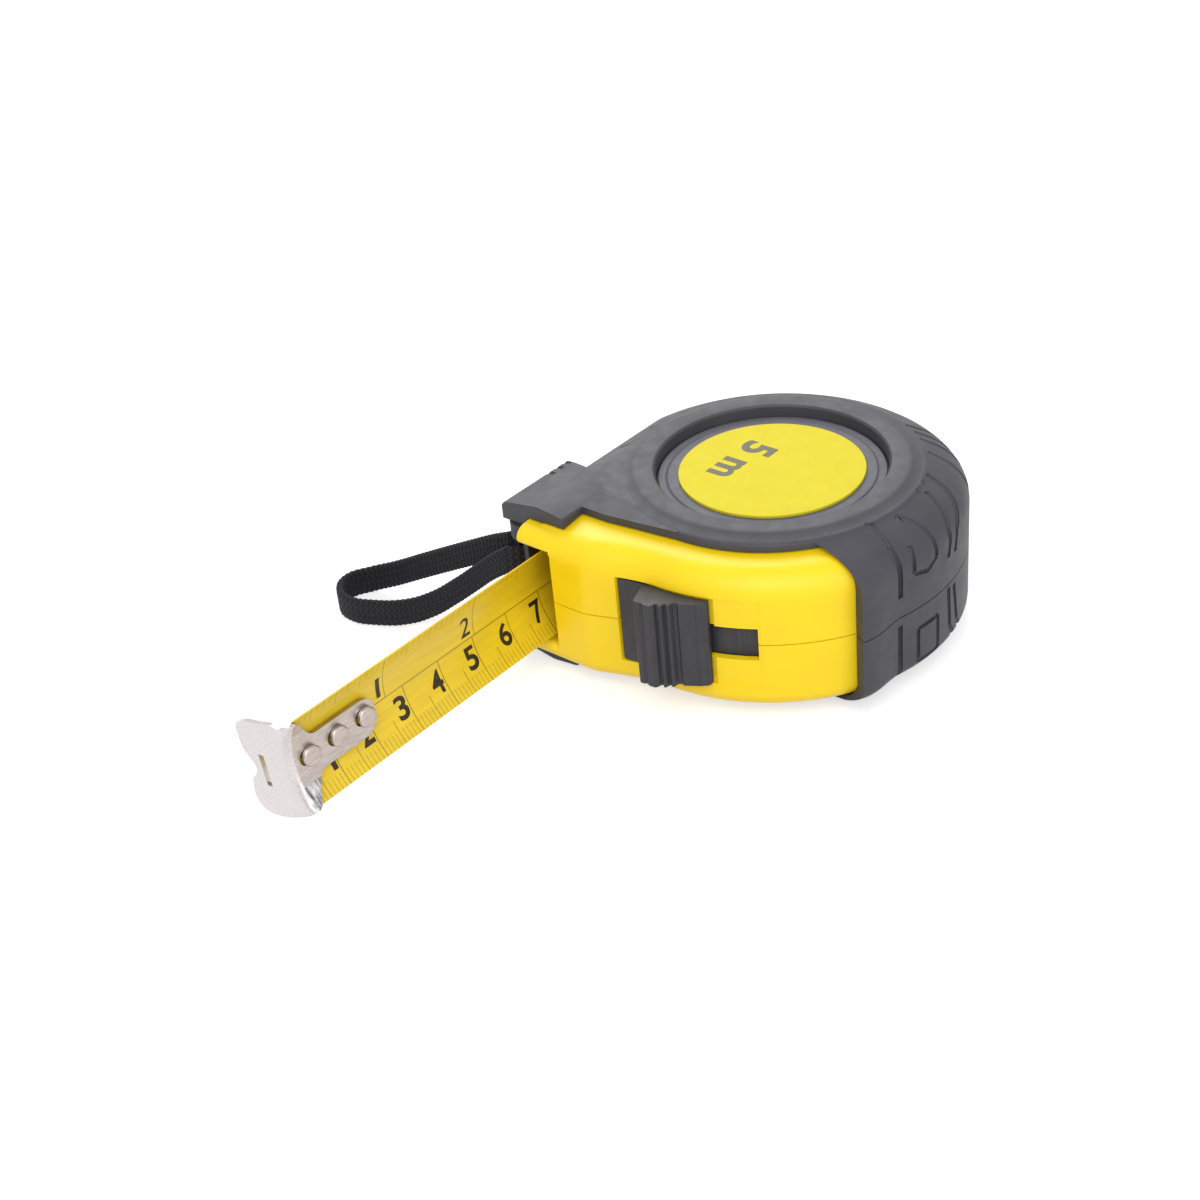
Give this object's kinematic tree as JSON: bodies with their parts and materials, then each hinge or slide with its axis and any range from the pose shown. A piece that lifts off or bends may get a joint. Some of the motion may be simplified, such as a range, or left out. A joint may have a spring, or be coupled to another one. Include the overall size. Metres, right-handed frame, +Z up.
{
  "type": "measuring tape",
  "caption": "Pocket tape measure lying on its side: yellow case with dark rubber grip, steel blade drawn out with riveted end hook, sliding thumb lock and wrist strap.",
  "frame": {"origin": "on the resting surface, under the middle of the bounding box of everything but the wrist strap", "axes": "+Z up along the spool axis, with the tape lying on its side; the blade leaves the mouth along -X; the flat base of the case faces +Y and its rounded top -Y"},
  "size_m": [0.1536, 0.1256, 0.0375],
  "materials": {
    "case_plastic": "satin moulded",
    "grip_rubber": "satin overmoulded",
    "cap_plastic": "satin moulded",
    "label_print": "printed film",
    "black_plastic": "fine-grained moulded",
    "pad_rubber": "matt",
    "plain_steel": "zinc plated",
    "strap_braid": "flat nylon braid",
    "inner_plastic": "moulded",
    "spring_steel": "blued",
    "blade_paint": "lacquered, printed scale",
    "nickel": "satin nickel"
  },
  "bodies": {
    "case": {"case_upper_shell": "case_plastic", "case_lower_shell": "case_plastic", "grip_upper": "grip_rubber", "grip_lower": "grip_rubber", "side_cap_upper": "cap_plastic", "side_cap_lower": "cap_plastic", "label_disc_upper": "label_print", "label_disc_lower": "label_print", "mouth_foot": "black_plastic", "strap_bar": "plain_steel", "wrist_strap": "strap_braid", "spool_post": "inner_plastic", "case_screw_1": "plain_steel", "case_screw_2": "plain_steel", "case_screw_3": "plain_steel", "case_screw_4": "plain_steel", "blade_run": "blade_paint"},
    "spool": {"spool_drum": "inner_plastic", "spool_cover": "inner_plastic", "power_spring": "spring_steel", "blade_coil": "blade_paint"},
    "blade": {"blade": "blade_paint", "hook_rivet_1": "nickel", "hook_rivet_2": "nickel", "hook_rivet_3": "nickel"},
    "hook": {"end_hook": "nickel"},
    "lock": {"thumb_button": "black_plastic", "lock_arm": "black_plastic", "brake_pad": "pad_rubber"}
  },
  "joints": [
    {"name": "blade_slide", "type": "slide", "parent": "case", "child": "blade", "axis": [1, 0, 0], "range_m": [0, 0.066], "deforming": ["blade_run"]},
    {"name": "spool_turn", "type": "hinge", "parent": "case", "child": "spool", "pos_m": [0.03655, -0.00152, 0.01875], "axis": [0, 0, -1], "range_deg": [0, 157]},
    {"name": "hook_play", "type": "slide", "parent": "blade", "child": "hook", "axis": [1, 0, 0], "range_m": [0, 0.001]},
    {"name": "lock_slide", "type": "hinge", "parent": "case", "child": "lock", "pos_m": [0.03655, -0.00152, 0.01875], "axis": [0, 0, 1], "range_deg": [0, 13]}
  ],
  "couplings": [
    {"joint": "spool_turn", "follows": "blade_slide", "rad_per_m": 41.322}
  ]
}
